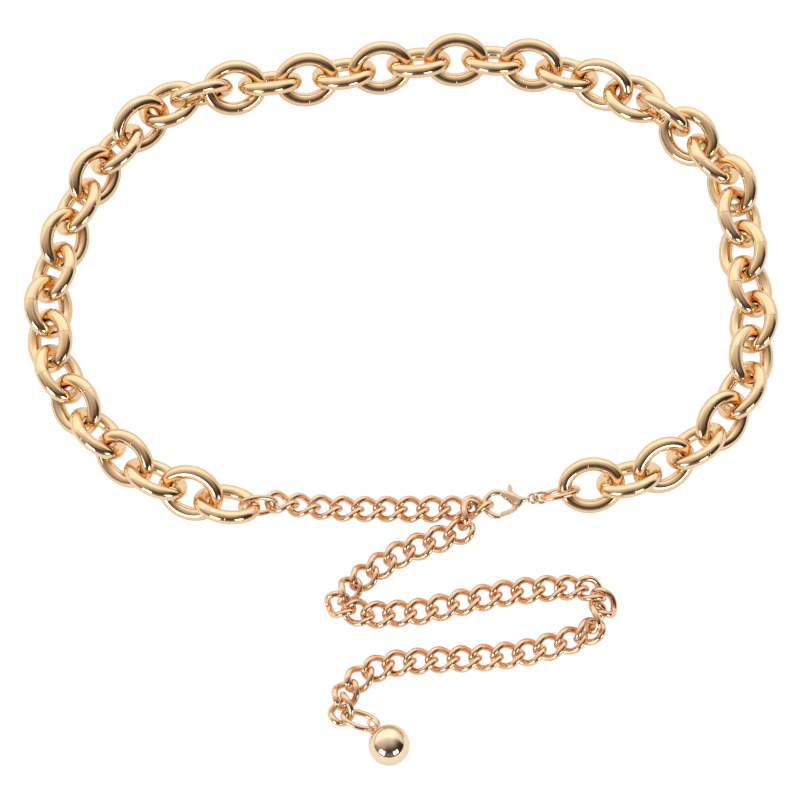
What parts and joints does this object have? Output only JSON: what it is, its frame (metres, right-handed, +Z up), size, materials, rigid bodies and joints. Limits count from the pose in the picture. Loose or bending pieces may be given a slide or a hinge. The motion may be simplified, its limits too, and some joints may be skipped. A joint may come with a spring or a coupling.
{
  "type": "waist chain",
  "caption": "Waist chain of heavy oval links, with a finer curb chain folded beside it, a lobster clasp hooked into the curb chain and a ball at its free end.",
  "frame": {"origin": "middle of the overall box, on the plane that the chain lies on", "axes": "+Z up from that plane, +Y from the clasp across the loop to its far side, +X to the right as seen from the clasp's side"},
  "size_m": [0.2617, 0.2668, 0.0197],
  "materials": {
    "heavy_chain": "polished",
    "curb_chain": "polished",
    "clasp": "polished",
    "ball": "polished"
  },
  "bodies": {
    "belt": {"link_01": "heavy_chain", "link_02": "heavy_chain", "link_03": "heavy_chain", "link_04": "heavy_chain", "link_05": "heavy_chain", "link_06": "heavy_chain", "link_07": "heavy_chain", "link_08": "heavy_chain", "link_09": "heavy_chain", "link_10": "heavy_chain", "link_11": "heavy_chain", "link_12": "heavy_chain", "link_13": "heavy_chain", "link_14": "heavy_chain", "link_15": "heavy_chain", "link_16": "heavy_chain", "link_17": "heavy_chain", "link_18": "heavy_chain", "link_19": "heavy_chain", "link_20": "heavy_chain", "link_21": "heavy_chain", "link_22": "heavy_chain", "link_23": "heavy_chain", "link_24": "heavy_chain", "link_25": "heavy_chain", "link_26": "heavy_chain", "link_27": "heavy_chain", "link_28": "heavy_chain", "link_29": "heavy_chain", "link_30": "heavy_chain", "link_31": "heavy_chain", "link_32": "heavy_chain", "link_33": "heavy_chain", "link_34": "heavy_chain", "link_35": "heavy_chain", "link_36": "heavy_chain", "link_37": "heavy_chain", "link_38": "heavy_chain", "link_39": "heavy_chain", "link_40": "heavy_chain", "link_41": "heavy_chain", "link_42": "heavy_chain", "link_43": "heavy_chain", "link_44": "heavy_chain", "curb_chain_waist": "curb_chain", "curb_chain_tail": "curb_chain", "joining_ring_a": "curb_chain", "joining_ring_b": "curb_chain", "ball_ring": "curb_chain", "small_ring": "curb_chain", "clasp_body": "clasp", "ball": "ball"},
    "lever": {"clasp_lever": "clasp"}
  },
  "joints": [
    {"name": "lever_hinge", "type": "hinge", "parent": "belt", "child": "lever", "pos_m": [0.03953, -0.0404, 0.0039], "axis": [0, 0, 1], "range_deg": [-22, 0], "stiffness_Nm_per_rad": 0.005}
  ]
}
